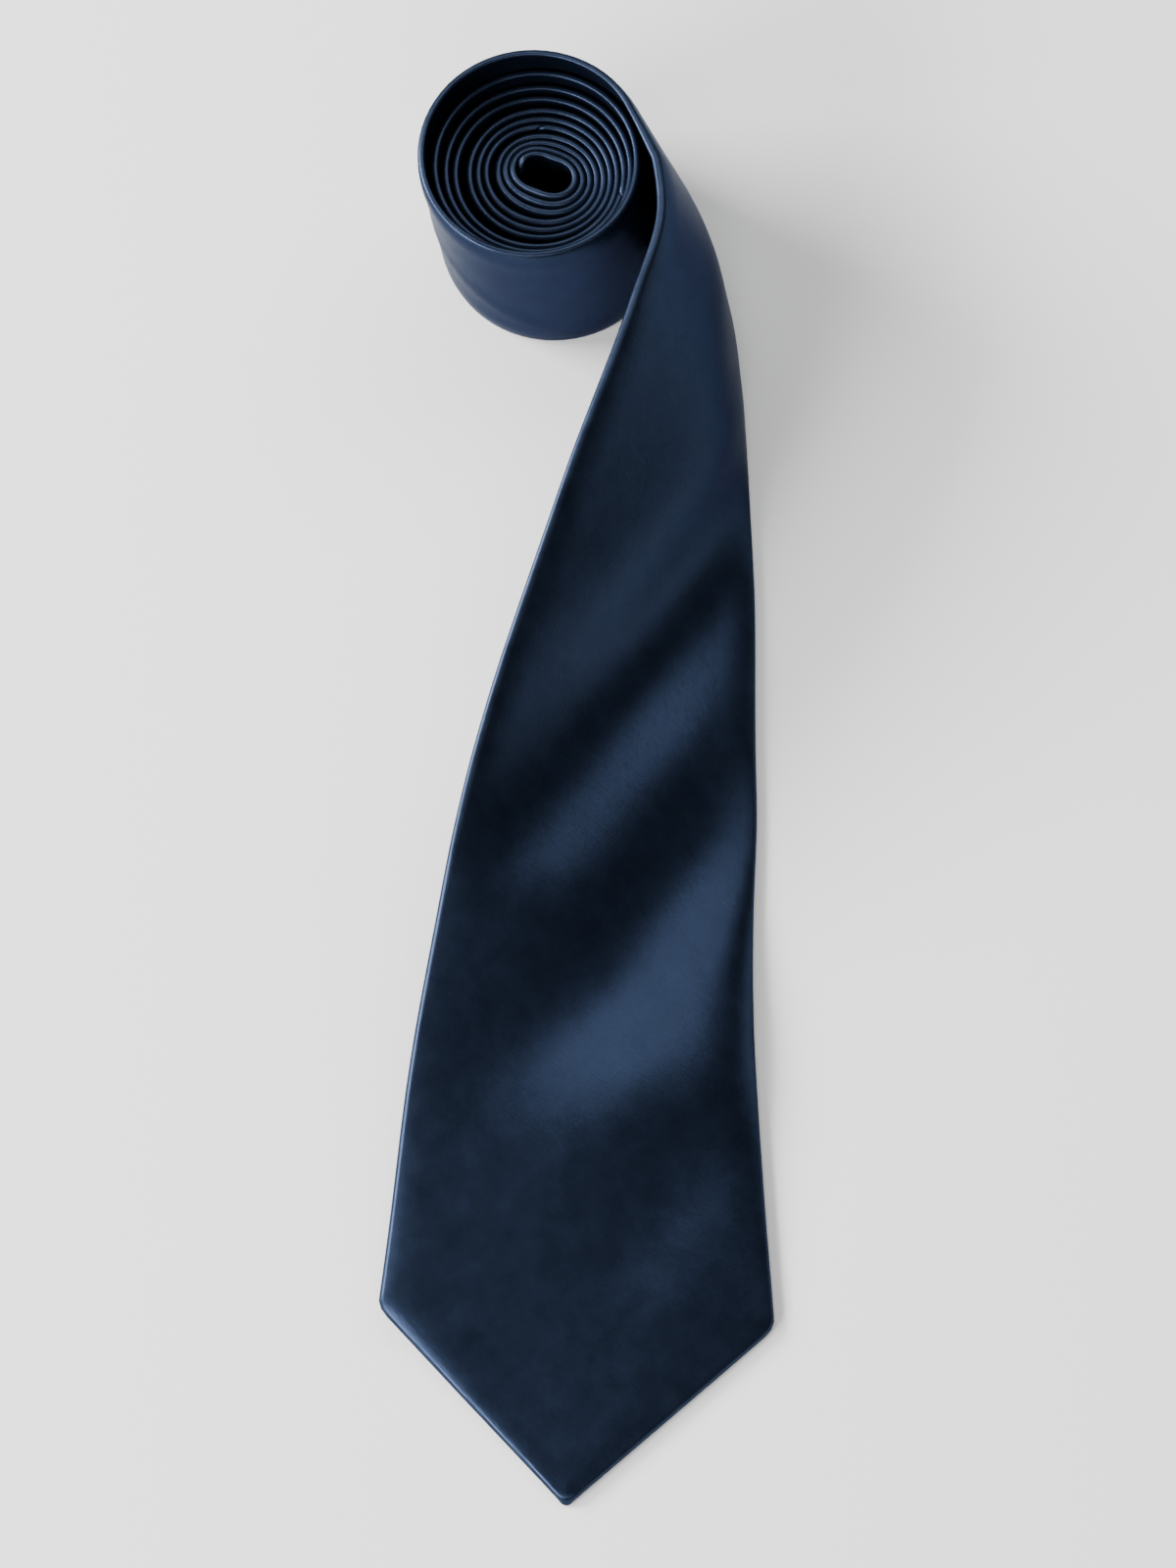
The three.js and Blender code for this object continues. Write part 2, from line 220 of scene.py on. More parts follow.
# Half the width of the tie's face at s: a square point with small rounds, then the straight sides.
def halfWidth(s):
    fromEnd = (np.minimum(s, tie["length"] - s) - tie["pointStart"]) * tie["pointSpread"]
    radius = tie["pointRound"]
    fromSharp = np.maximum(fromEnd, 0) + radius * (math.sqrt(2) - 1)
    inRound = fromSharp < radius / math.sqrt(2)
    rounded = np.sqrt(np.maximum(radius**2 - (radius * math.sqrt(2) - fromSharp) ** 2, 0))
    pointed = np.where(inRound, rounded, fromSharp)
    side = fullWidth(s) / 2
    blend = np.clip(0.5 + 0.5 * (side - pointed) / tie["cornerRound"], 0, 1)
    return side * (1 - blend) + pointed * blend - tie["cornerRound"] * blend * (1 - blend)


def flapWidth(s):
    slanted = tie["hem"] * math.sqrt(2)

    def opens(distance, corner, meet):
        start = corner + tie["hemStraight"]
        grown = np.clip((distance - start) / (meet - start), 0, 1)
        return slanted + (fullWidth(s) / 2 - slanted) * grown

    blade = opens(s, bladePoint, tie["bladeFlapsMeet"])
    tail = opens(tie["length"] - s, tailPoint, tie["tailFlapsMeet"])
    return np.minimum(blade, tail)


turnPitch = thicknessWith(tie["tightGap"]) + roll["clearance"]


def rollRadiusFor(length):
    return math.sqrt(roll["eye"] ** 2 + length * turnPitch / math.pi)


def rollCentre(outer):
    angle = roll["exitAngle"]
    return roll["exitFoot"][0] - outer * math.cos(angle), roll["exitFoot"][1] - outer * math.sin(angle)


# A centripetal spline through the strip's points, as a fine polyline.
def splineThrough(points):
    points = np.array(points, float)
    ends = (2 * points[:1] - points[1:2], points, 2 * points[-1:] - points[-2:-1])
    knots = np.concatenate(ends)
    out = []
    for p0, p1, p2, p3 in zip(knots, knots[1:], knots[2:], knots[3:]):
        d0, d1, d2 = (math.sqrt(np.linalg.norm(b - a)) for a, b in ((p0, p1), (p1, p2), (p2, p3)))
        t1 = ((p1 - p0) / d0 - (p2 - p0) / (d0 + d1) + (p2 - p1) / d1) * d1
        t2 = ((p2 - p1) / d1 - (p3 - p1) / (d1 + d2) + (p3 - p2) / d2) * d1
        t = np.linspace(0, 1, splineSteps, endpoint=False)[:, None]
        out.append(
            p1 + t1 * t + (3 * (p2 - p1) - 2 * t1 - t2) * t**2 + (2 * (p1 - p2) + t1 + t2) * t**3
        )
    return np.concatenate([*out, points[-1:]])


def stripLine(outer):
    x0, y0 = rollCentre(outer)
    half = fullWidth(roll["exitFoot"][1] + bladePoint) / 2
    points = [strip["tip"], *strip["path"]]
    for guide in roll["guides"]:
        angle = roll["exitAngle"] + guide
        leanX = roll["lean"][0] - roll["draft"] * math.cos(angle)
        leanY = roll["lean"][1] - roll["draft"] * math.sin(angle)
        points.append((
            x0 + outer * math.cos(angle) + leanX * half,
            y0 + outer * math.sin(angle) + leanY * half,
        ))
    line = splineThrough(points)
    lengths = np.concatenate([[0], np.cumsum(np.linalg.norm(np.diff(line, axis=0), axis=1))])
    atExit = (len(points) - len(roll["guides"])) * splineSteps
    return line, lengths, lengths[atExit]


rollRadius = rollRadiusFor(tie["length"] - roll["exitFoot"][1] - bladePoint)
for settle in range(settleRounds):
    line, lineLengths, stripEnd = stripLine(rollRadius)
    rollRadius = rollRadiusFor(tie["length"] - stripEnd)
turns = (rollRadius - roll["eye"]) / turnPitch


def gapAt(s):
    closed = smooth(s, stripEnd - tie["straighten"], stripEnd)
    return tie["looseGap"] + (tie["tightGap"] - tie["looseGap"]) * closed


# The quarter turn, from flat on the blade to upright before the roll.
def twistAt(s):
    start = bladePoint + strip["flatBeyond"]
    end = stripEnd - tie["straighten"]
    ease = strip["easeIn"]
    eased = ease * np.logaddexp(0, (s - start) / ease) * (1 - smooth(s, start, end))
    eased += (s - start) * smooth(s, start, end)
    share = np.clip(eased / (end - start), 0, 1)
    late = strip["twistDelay"] * np.sin(math.pi * share)
    return (math.pi / 2) * (share - late) * smooth(s, -30, start + 20)


# How far round the spiral a length along it reaches.
def turnedAt(length):
    inside = np.maximum(rollRadius**2 - np.maximum(length, 0) * turnPitch / math.pi, 0)
    return 2 * math.pi * (rollRadius - np.sqrt(inside)) / turnPitch


# The turns aren't evenly spaced: on the open side, away from where the strip leaves, each pass
# is shifted by its own amount, which leaves wider gaps between some of them.
def passShift(angle):
    number = np.clip(angle // (2 * math.pi), 0, len(roll["passShifts"]) - 1).astype(int)
    return np.array(roll["passShifts"])[number] * np.sin(angle / 2) ** 2


# A table of the whole tie's course: for each place along it, where the foot is, which way it
# runs, and the curve of the face above the foot.
def buildCourse():
    s = np.linspace(0, tie["length"], courseRows)
    share = np.linspace(0, 1, courseColumns)
    width = fullWidth(s)
    onStrip = s < stripEnd
    middle = np.stack([np.interp(s, lineLengths, line[:, k]) for k in (0, 1)], 1)
    slopes = np.gradient(line, axis=0)
    slopes /= np.linalg.norm(slopes, axis=1)[:, None]
    stripAlong = np.stack([np.interp(s, lineLengths, slopes[:, k]) for k in (0, 1)], 1)
    turned = turnedAt(s - stripEnd)
    angle = roll["exitAngle"] + turned
    radius = rollRadius - turnPitch * turned / (2 * math.pi)
    inward = (rollRadius - radius) / (rollRadius - roll["eye"])
    squash = roll["eyeSquash"] * inward**3 * np.cos(2 * (angle - roll["eyeSquashAngle"]))
    drawn = radius * (1 + squash) + passShift(angle)
    x0, y0 = rollCentre(rollRadius)
    radial = np.stack([np.cos(angle), np.sin(angle)], 1)
    rollFoot = radial * drawn[:, None]
    rollFoot += np.array([x0, y0]) + np.outer(inward, roll["eyeShift"])
    rollAlong = np.stack([-radial[:, 1], radial[:, 0]], 1)
    along = np.where(onStrip[:, None], stripAlong, rollAlong)
    along /= np.linalg.norm(along, axis=1)[:, None]
    left = np.stack([-along[:, 1], along[:, 0]], 1)

    twist = np.where(onStrip, twistAt(s), math.pi / 2)
    draft = roll["draft"] * np.where(onStrip, 1, radius / rollRadius)
    lean = np.array([roll["lean"]]) + left * draft[:, None]
    lean *= (np.sin(twist) ** 3)[:, None]
    flatRuling = left * np.cos(twist)[:, None] + lean
    norm = np.sqrt((flatRuling**2).sum(1) + np.sin(twist) ** 2)
    stripFoot = middle - flatRuling / norm[:, None] * (width / 2)[:, None]
    foot = np.where(onStrip[:, None], stripFoot, rollFoot)

    curl = strip["curl"] * smooth(s, *strip["curlGrows"]) * (1 - smooth(s, *strip["curlFades"]))
    bulge = strip["bulge"] * smooth(s, *strip["bulgeGrows"])
    bulge *= 1 - smooth(s, stripEnd - 20, stripEnd + 24)
    ridge = np.tanh((share[None] - strip["ridge"]) / 0.1) - (1 - 2 * strip["ridge"])
    slanted = s[:, None] + width[:, None] * share * (strip["slant"] - strip["bow"] * share)
    bend = curl[:, None] * (share[None] - 0.5) - bulge[:, None] * ridge
    for at, reach, centre, span, degrees in strip["ripples"]:
        rippled = np.exp(-(((slanted - at) / reach) ** 2) - ((share - centre) / span) ** 2)
        bend = bend + math.radians(degrees) * rippled
    step = width[:, None] * (share[1] - share[0])

    def sumUp(values):
        parts = 0.5 * (values[:, 1:] + values[:, :-1]) * step
        return np.concatenate([np.zeros((len(s), 1)), np.cumsum(parts, axis=1)], 1)

    lowest, soft = -0.03, 0.06
    offset = np.zeros(len(s))
    for settle in range(6):
        slope = twist[:, None] + bend + offset[:, None]
        slope = lowest + soft * np.logaddexp(0, (slope - lowest) / soft)
        side, height = sumUp(np.cos(slope)), sumUp(np.sin(slope))
        offset += twist - np.arctan2(height[:, -1], side[:, -1])
    full = (width / np.hypot(side[:, -1], height[:, -1]))[:, None]
    side, height = side * full, height * full

    outermost = np.exp(-np.maximum(turned - 0.4, 0) / 5.0) * smooth(turned, 0.6, 2.2)
    lip = roll["lip"] * smooth(share[None], 0.72, 1.05) ** 1.5
    waist = roll["waist"] * np.sin(math.pi * share[None])
    fromCrease = (share[None] - 0.6 + 0.24 * (turned[:, None] - 2.6)) / 0.07
    creased = smooth(turned, 2, 2.8) * (1 - smooth(turned, 4, 5))
    crease = roll["crease"] * np.exp(-fromCrease**2) * creased[:, None]
    side = side - outermost[:, None] * (lip - waist + crease)
    rise = share[None] * width[:, None]
    return {
        "s": s,
        "share": share,
        "foot": foot,
        "left": left,
        "width": width,
        "side": side,
        "height": height,
        "slope": slope,
        "leanX": lean[:, :1] * rise,
        "leanY": lean[:, 1:] * rise,
        "lift": np.zeros(len(s)),
    }


course = buildCourse()


def fromTable(name, row, rowShare, column, columnShare):
    table = course[name]
    near = table[row, column] * (1 - columnShare) + table[row, column + 1] * columnShare
    far = table[row + 1, column] * (1 - columnShare) + table[row + 1, column + 1] * columnShare
    return near * (1 - rowShare) + far * rowShare


# Where points of the tie lie: s along it, across from the foot edge, deep from front to back.
def lay(s, across, deep):
    s, across, deep = np.broadcast_arrays(*(np.asarray(v, float) for v in (s, across, deep)))
    spacing = course["s"][1]
    position = np.clip(s / spacing, 0, len(course["s"]) - 1.001)
    row = position.astype(int)
    rowShare = position - row

    def alongTable(table):
        share = rowShare if table.ndim == 1 else rowShare[..., None]
        return table[row] * (1 - share) + table[row + 1] * share

    spot = np.clip(across / alongTable(course["width"]), 0, 1) * (len(course["share"]) - 1.001)
    column = spot.astype(int)
    at = (row, rowShare, column, spot - column)
    side, height, slope = (fromTable(name, *at) for name in ("side", "height", "slope"))
    foot, left = alongTable(course["foot"]), alongTable(course["left"])
    fromFold = np.clip(halfWidth(s) - np.abs(across - fullWidth(s) / 2), 0, tie["edgeReach"])
    deep = deep + tie["edgeRoll"] * (1 - fromFold / tie["edgeReach"]) ** 2
    out = np.empty(s.shape + (3,))
    sideways = side + np.sin(slope) * deep
    out[..., 0] = foot[..., 0] + left[..., 0] * sideways + fromTable("leanX", *at)
    out[..., 1] = foot[..., 1] + left[..., 1] * sideways + fromTable("leanY", *at)
    out[..., 2] = height - np.cos(slope) * deep + alongTable(course["lift"])
    return out


# A folded section runs from one flap's free edge round the front to the other's. part is 0 in
# the middle of the front, 1 where a fold starts, 2 where it ends and 3 at the flap's free edge.
def foldedSection(half, radius, flap, part):
    flat = half - radius
    turn = math.pi * radius
    side, amount = np.sign(part), np.abs(part)
    angle = math.pi * np.clip(amount - 1, 0, 1)
    back = np.clip(amount - 2, 0, 1)
    onFront = amount <= 1
    onFold = amount <= 2
    foldAcross, flapAcross = flat + radius * np.sin(angle), flat - flap * back
    foldCloth, flapCloth = flat + turn * (amount - 1), flat + turn + flap * back
    across = np.where(onFront, flat * amount, np.where(onFold, foldAcross, flapAcross))
    deep = np.where(onFront, 0, np.where(onFold, radius * (1 - np.cos(angle)), 2 * radius))
    cloth = np.where(onFront, flat * amount, np.where(onFold, foldCloth, flapCloth))
    return side * across, deep, side * cloth


def shellSection(s, part):
    half = halfWidth(s)
    thick = thicknessWith(gapAt(s)) / 2
    ending = np.clip((np.minimum(s, tie["length"] - s) - tie["pointStart"]) / (thick * 1.6), 0, 1)
    radius = np.minimum(thick, half * 0.9) * np.sqrt(1 - (1 - ending) ** 2)
    flap = np.clip(np.minimum(flapWidth(s), half - tie["slit"] / 2) - radius, 0, None)
    across, deep, cloth = foldedSection(half, radius, flap, part)
    return fullWidth(s) / 2 + across, deep, cloth


def columnParts(front, fold, flap):
    side = np.concatenate([
        np.linspace(0, 1, front + 1),
        np.linspace(1, 2, fold + 1)[1:],
        np.linspace(2, 3, flap + 1)[1:],
    ])
    return np.concatenate([-side[:0:-1], side])


# Every part of the shell has to clear the table, so the course is lifted by what dips below it.
def liftCourse():
    parts = columnParts(12, 8, 2)
    s, part = np.meshgrid(course["s"], parts, indexing="ij")
    across, deep, cloth = shellSection(s, part)
    lowest = lay(s, across, deep)[..., 2].min(axis=1)
    course["lift"] = -lowest


liftCourse()

# The tie is drawn with the blade's corners at zero, and the CAD box says where that is.
originShift = Vector((0.0, cadBox[0].y + (bladePoint - tie["bluntPoint"]) * mm, 0.0))
print(f"roll radius {rollRadius:.1f}, {turns:.1f} turns, strip {stripEnd:.0f}")


def stationsBetween(start, end, stripStep, rollDegrees):
    out = [start]
    s = start
    while s < end - 1e-6:
        fromEnd = min(s, tie["length"] - s) - tie["pointStart"]
        step = stripStep
        if s > stripEnd:
            inside = rollRadius**2 - (s - stripEnd) * turnPitch / math.pi
            step = math.radians(rollDegrees) * math.sqrt(max(inside, roll["eye"] ** 2))
        step = min(step, 0.12 + 0.28 * fromEnd)
        s = min(s + step, end)
        out.append(s)
    if len(out) > 2 and out[-1] - out[-2] < 0.3 * (out[-2] - out[-3]):
        out.pop(-2)
    return np.array(out)


# ---- making meshes ----


def addObject(name, mesh):
    piece = bpy.data.objects.new(name, mesh)
    bpy.context.collection.objects.link(piece)
    for face in mesh.polygons:
        face.use_smooth = True
    return piece


# A flat grid of cloth, with each of its points put where placeAt says. towards is the side that
# the thickness grows to, and 0 is both.
def clothPiece(name, rows, columns, placeAt, thickness, towards=-1):
    mesh = bpy.data.meshes.new(name)
    work = bmesh.new()
    bmesh.ops.create_grid(work, x_segments=len(rows) - 1, y_segments=len(columns) - 1, size=1)
    flat = np.array([vert.co[:2] for vert in work.verts])
    rowNumber = np.rint((flat[:, 0] + 1) / 2 * (len(rows) - 1)).astype(int)
    columnNumber = np.rint((flat[:, 1] + 1) / 2 * (len(columns) - 1)).astype(int)
    points, cloth, fold = placeAt(rows[rowNumber], columns[columnNumber])
    for vert, point in zip(work.verts, points * mm):
        vert.co = Vector(point) + originShift
    cloth = cloth * mm
    uvLayer = work.loops.layers.uv.new("cloth")
    for face in work.faces:
        for loop in face.loops:
            loop[uvLayer].uv = cloth[loop.vert.index]
    foldLayer = work.verts.layers.float.new("fold")
    for vert, value in zip(work.verts, fold):
        vert[foldLayer] = value
    bmesh.ops.remove_doubles(work, verts=work.verts, dist=2e-6)
    work.to_mesh(mesh)
    work.free()
    piece = addObject(name, mesh)
    solid = piece.modifiers.new("thickness", "SOLIDIFY")
    solid.thickness = thickness * mm
    solid.offset = towards
    solid.use_even_offset = True
    solid.use_rim = True
    return piece


# A cloth's flat area and its greatest width, in metres.
def clothArea(rows, columns, placeAt):
    s, part = np.meshgrid(rows, columns, indexing="ij")
    cloth = placeAt(s.ravel(), part.ravel())[1].reshape(len(rows), len(columns), 2)
    along, across = np.diff(cloth[..., 0], axis=0)[:, :-1], np.diff(cloth[..., 1], axis=1)[:-1]
    area = float(np.abs(along * across).sum()) * mm * mm
    width = float(np.ptp(cloth[..., 1], axis=1).max()) * mm
    return area, width


# A thread is a thin round tube along one or more lines of points.
def threadPiece(name, lines, diameter):
    data = bpy.data.curves.new(name, "CURVE")
    data.dimensions = "3D"
    data.bevel_depth = 1
    data.bevel_resolution = 2
    data.use_fill_caps = True
    for points in lines:
        spline = data.splines.new("POLY")
        spline.points.add(len(points) - 1)
        for target, point in zip(spline.points, points * mm):
            target.co = (*(Vector(point) + originShift), 1)
            target.radius = diameter * mm / 2
    piece = bpy.data.objects.new(name, data)
    bpy.context.collection.objects.link(piece)
    return piece


# ---- the cloth ----

# Panels are joined on a slant, which fades out away from each seam.
seam = {"slant": 0.8, "reach": 62.0, "gap": 0.08}


def slantAt(s):
    total = 0
    for at in (tie["bladePanelEnd"], tie["neckPanelEnd"]):
        total = total + np.exp(-(((s - at) / seam["reach"]) ** 2))
    return seam["slant"] * total


def shellPlace(s, part):
    across, deep, cloth = shellSection(s, part)
    slanted = np.clip(s + slantAt(s) * cloth, tie["pointStart"], tie["length"] - tie["pointStart"])
    across, deep, cloth = shellSection(slanted, part)
    amount = np.abs(part)
    fold = np.exp(-(((amount - 1.4) / 0.32) ** 2))
    return lay(slanted, across, deep), np.stack([slanted, cloth], -1), fold


def addShell(name, start, end, node):
    rows = stationsBetween(start, end, 1.7, 5.5)
    columns = columnParts(15, 8, 6)
    piece = clothPiece(name, rows, columns, shellPlace, tie["shell"])
    area, width = clothArea(rows, columns, shellPlace)
    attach(piece, "tie")
    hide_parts(node)
    print(f"{name}: {len(rows)} rows, cut {width * 1000:.0f} mm wide, {area:.4f} square metres")
    return piece


floorSize = 1.6


def addFloor():
    mesh = bpy.data.meshes.new("floor")
    work = bmesh.new()
    bmesh.ops.create_grid(work, x_segments=1, y_segments=1, size=floorSize)
    bmesh.ops.translate(work, verts=work.verts, vec=(0, 0, -0.0002))
    work.to_mesh(mesh)
    work.free()
    floor = addObject("floor", mesh)
    floor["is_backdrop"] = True
    return floor


floor = addFloor()
bladeCloth = addShell(
    "blade_cloth", tie["pointStart"], tie["bladePanelEnd"] - seam["gap"], "blade_shell",
)
neckCloth = addShell(
    "neck_cloth", tie["bladePanelEnd"], tie["neckPanelEnd"] - seam["gap"], "neck_shell",
)
tailCloth = addShell(
    "tail_cloth", tie["neckPanelEnd"], tie["length"] - tie["pointStart"], "tail_shell",
)


# A layer inside the folded shell, at its own depth and inset from the folds.
def layerPlace(inset, depthAt):
    def place(s, part):
        half = np.maximum(halfWidth(s) - inset, 0.05)
        across = fullWidth(s) / 2 + half * part
        points = lay(s, across, depthAt(s))
        return points, np.stack([s, half * part], -1), np.zeros_like(s)

    return place


def addLayer(name, start, end, inset, depthAt, thickness, node):
    rows = stationsBetween(start, end, 3.0, 8.0)
    parts = np.linspace(-1, 1, 15)
    place = layerPlace(inset, depthAt)
    piece = clothPiece(name, rows, parts, place, thickness, 0)
    area, width = clothArea(rows, parts, place)
    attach(piece, "tie")
    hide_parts(node)
    return piece


def interliningDepth(s):
    return tie["shell"] + gapAt(s) + tie["interlining"] / 2


def tippingDepth(s):
    return tie["shell"] + 2 * gapAt(s) + tie["interlining"] + tie["tipping"] / 2


def backAt(s):
    return thicknessWith(gapAt(s))


layersStart, layersEnd = tie["pointInset"], tie["length"] - tie["pointInset"]
wool = addLayer(
    "wool_interlining", layersStart, layersEnd, tie["interliningInset"], interliningDepth,
    tie["interlining"], "interlining",
)
bladeLining = addLayer(
    "blade_lining", layersStart, tie["bladeFlapsMeet"] + tie["tippingTuck"], tie["tippingInset"],
    tippingDepth, tie["tipping"], "blade_tipping",
)
tailLining = addLayer(
    "tail_lining", tie["length"] - tie["tailFlapsMeet"] - tie["tippingTuck"], layersEnd,
    tie["tippingInset"], tippingDepth, tie["tipping"], "tail_tipping",
)
print("cloth layers laid")

# ---- threads, bar tacks and labels ----

trims = {
    "threadWidth": 0.24,
    "slipStitch": 6.0,
    "tackFromMeeting": 4.0,
    "tackLength": 7.5,
    "tackWidth": 1.4,
    "tackWraps": 26,
    "keeperStart": 204.0,
    "keeperWidth": 12.0,
    "keeperInset": 9.0,
    "keeperTab": 5.0,
    "keeperThick": 0.6,
    "keeperSlack": 2.4,
    "gap": 0.5,
    "labelStart": 236.0,
    "labelWidth": 19.0,
    "labelLength": 44.0,
    "labelThick": 0.35,
    "careStart": 160.0,
    "careWidth": 25.0,
    "careDrop": 14.5,
    "careAbove": 8.0,
    "careTab": 2.2,
    "careGap": 0.16,  # from the tie's back to the middle of the tab
    "careThick": 0.25,
    "stitch": 2.2,
    "stitchGap": 0.7,
}


def middleAt(s):
    return fullWidth(np.asarray(s, float)) / 2


def finishThread(piece, node):
    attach(piece, "tie")
    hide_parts(node)


# The slip stitches pass from one flap's edge to the other's, just under the surface.
def addSlipStitches():
    start = tie["bladeFlapsMeet"] + trims["tackFromMeeting"]
    end = tie["length"] - tie["tailFlapsMeet"] - trims["tackFromMeeting"]
    s = np.arange(start, end, trims["slipStitch"] / 4)
    phase = 2 * math.pi * (s - start) / trims["slipStitch"]
    across = middleAt(s) + 0.5 * np.clip(1.6 * np.sin(phase), -1, 1)
    points = lay(s, across, backAt(s) - 0.12)
    piece = threadPiece("slip_stitches", [points], trims["threadWidth"] * 0.8)
    finishThread(piece, "slip_stitch_thread")


# A bar tack is a few long threads across the seam, wrapped by many short ones.
def addBarTack(name, node, at, rise):
    wraps = trims["tackWraps"]
    turn = np.linspace(0, 2 * math.pi * wraps, wraps * 12 + 1)
    across = middleAt(at) + np.linspace(-0.5, 0.5, len(turn)) * trims["tackLength"]
    s = at + 0.5 * trims["tackWidth"] * np.cos(turn)
    deep = backAt(at) + 0.1 + rise * (1 + 0.5 * np.sin(turn))
    lines = [lay(s, across, deep)]
    for offset in (-0.3, 0.0, 0.3):
        long = middleAt(at) + np.linspace(-0.5, 0.5, 12) * trims["tackLength"]
        lines.append(lay(at + offset, long, backAt(at) + rise))
    finishThread(threadPiece(name, lines, trims["threadWidth"]), node)


# A row of stitches along a line, each one dipping into the cloth at its ends.
def addStitches(name, node, lineAt, start, end):
    step = trims["stitch"] + trims["stitchGap"]
    count = int((end - start + trims["stitchGap"]) / step)
    first = start + (end - start - count * step + trims["stitchGap"]) / 2
    lines = []
    for number in range(count):
        along = first + number * step + np.linspace(0, 1, 7) * trims["stitch"]
        rise = 0.26 * np.sin(math.pi * np.linspace(0, 1, 7)) - 0.1
        lines.append(lineAt(along, rise))
    finishThread(threadPiece(name, lines, trims["threadWidth"]), node)


addSlipStitches()
bladeTackAt = tie["bladeFlapsMeet"] + trims["tackFromMeeting"]
addBarTack("blade_tack", "blade_bar_tack", bladeTackAt, 0.25)
tailTackAt = tie["length"] - tie["tailFlapsMeet"] - trims["tackFromMeeting"]
addBarTack("tail_tack", "tail_bar_tack", tailTackAt, 0.12)


# How far the keeper's underside stands off the tie's back.
def keeperRise(across, s):
    width = fullWidth(s)
    inside = np.minimum(across, width - across) - trims["keeperInset"]
    tab = trims["keeperTab"]
    return trims["gap"] + trims["keeperSlack"] * smooth(inside, tab, tab * 1.9)


def keeperPlace(q, part):
    centre = trims["keeperStart"] + trims["keeperWidth"] / 2
    half, radius = trims["keeperWidth"] / 2, trims["keeperThick"] / 2
    aside, deep, cloth = foldedSection(half, radius, half - radius - 0.15, part)
    s = centre + aside
    across = trims["keeperInset"] + q * (fullWidth(s) - 2 * trims["keeperInset"])
    outer = backAt(s) + keeperRise(across, s) + trims["keeperThick"]
    points = lay(s, across, outer - deep)
    return points, np.stack([across, cloth], -1), np.exp(-(((np.abs(part) - 1.4) / 0.32) ** 2))


def addKeeper():
    rows, columns = np.linspace(0, 1, 41), columnParts(8, 6, 4)
    piece = clothPiece("keeper", rows, columns, keeperPlace, 0.12, 1)
    area, width = clothArea(rows, columns, keeperPlace)
    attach(piece, "tie")
    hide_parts("keeper_loop")
    long = float(fullWidth(trims["keeperStart"])) - 2 * trims["keeperInset"] + 1
    return piece


keeper = addKeeper()


def keeperLine(acrossAt):
    def lineAt(s, rise):
        return lay(s, acrossAt(s), backAt(s) + trims["gap"] + trims["keeperThick"] + 0.05 + rise)

    return lineAt


sewnAt = trims["keeperInset"] + trims["keeperTab"] / 2
keeperEnd = trims["keeperStart"] + trims["keeperWidth"]
for side, acrossAt in {
    "lower": lambda s: np.full_like(s, sewnAt),
    "upper": lambda s: fullWidth(s) - sewnAt,
}.items():
    addStitches(
        f"keeper_{side}_stitches", f"keeper_stitch_{side}", keeperLine(acrossAt),
        trims["keeperStart"] + 0.6, keeperEnd - 0.6,
    )


# The woven label lies on the back, sewn down along its two short ends.
def labelPlace(s, part):
    across = middleAt(s) + part * trims["labelLength"] / 2
    middle = trims["labelStart"] + trims["labelWidth"] / 2
    curl = 0.35 * ((s - middle) / trims["labelWidth"] * 2) ** 4 * (1 - part**4)
    deep = backAt(s) + trims["gap"] * 0.5 + curl
    points = lay(s, across, deep)
    cloth = np.stack([s - middle, part * trims["labelLength"] / 2], -1)
    return points, cloth, np.abs(part) ** 8


def addWovenLabel():
    end = trims["labelStart"] + trims["labelWidth"]
    rows = np.linspace(trims["labelStart"], end, 17)
    columns = np.linspace(-1, 1, 37)
    piece = clothPiece("blank_label", rows, columns, labelPlace, trims["labelThick"], 1)
    area, width = clothArea(rows, columns, labelPlace)
    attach(piece, "tie")
    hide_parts("woven_label")
    return piece


wovenLabel = addWovenLabel()


def labelLine(offset):
    def lineAt(s, rise):
        deep = backAt(s) + trims["gap"] * 0.5 + trims["labelThick"] + 0.05 + rise
        return lay(s, middleAt(s) + offset, deep)

    return lineAt


for side, offset in {"lower": -1, "upper": 1}.items():
    addStitches(
        f"label_{side}_stitches", f"label_stitch_{side}",
        labelLine(offset * (trims["labelLength"] / 2 - 0.8)),
        trims["labelStart"], trims["labelStart"] + trims["labelWidth"],
    )


# The care label hangs straight down from its fold, and its tab lies on the tie's back.
# The fold is on the axis that the label turns about.
def careFold(s):
    joint = next(joint for joint in frame["joints"] if joint["child"] == "care_label")
    along = np.array(joint["axis"]) / np.linalg.norm(joint["axis"])
    centre = (np.array(joint["pos_m"]) - np.array(originShift)) / mm
    middle = trims["careStart"] + trims["careWidth"] / 2
    return centre + np.outer(np.asarray(s) - middle, along)


def careHang(s, drop):
    start, end = trims["careStart"], trims["careStart"] + trims["careWidth"]
    share = (s - start) / (end - start)
    low, high = careFold([start, end])
    along = (high - low) / np.linalg.norm(high - low)
    down = np.cross(along, (0, 0, 1.0))
    down = np.cross(along, down)
    down /= np.linalg.norm(down)
    outward = np.cross(down, along)
    wave = 0.2 * np.sin(math.pi * drop / trims["careDrop"]) * np.cos(5 * (share - 0.3))
    points = low + np.outer(share * trims["careWidth"], along) + np.outer(drop, down)
    points += np.outer(wave, outward)
    cloth = np.stack([s - start - trims["careWidth"] / 2, drop - trims["careDrop"] / 2], -1)
    return points, cloth, (drop / trims["careDrop"]) ** 6


def careTab(s, rise):
    points = lay(s, middleAt(s) + trims["careAbove"] + 0.3 + rise, backAt(s) + trims["careGap"])
    middle = trims["careStart"] + trims["careWidth"] / 2
    return points, np.stack([s - middle, -rise - trims["careDrop"] / 2], -1), np.zeros_like(s)


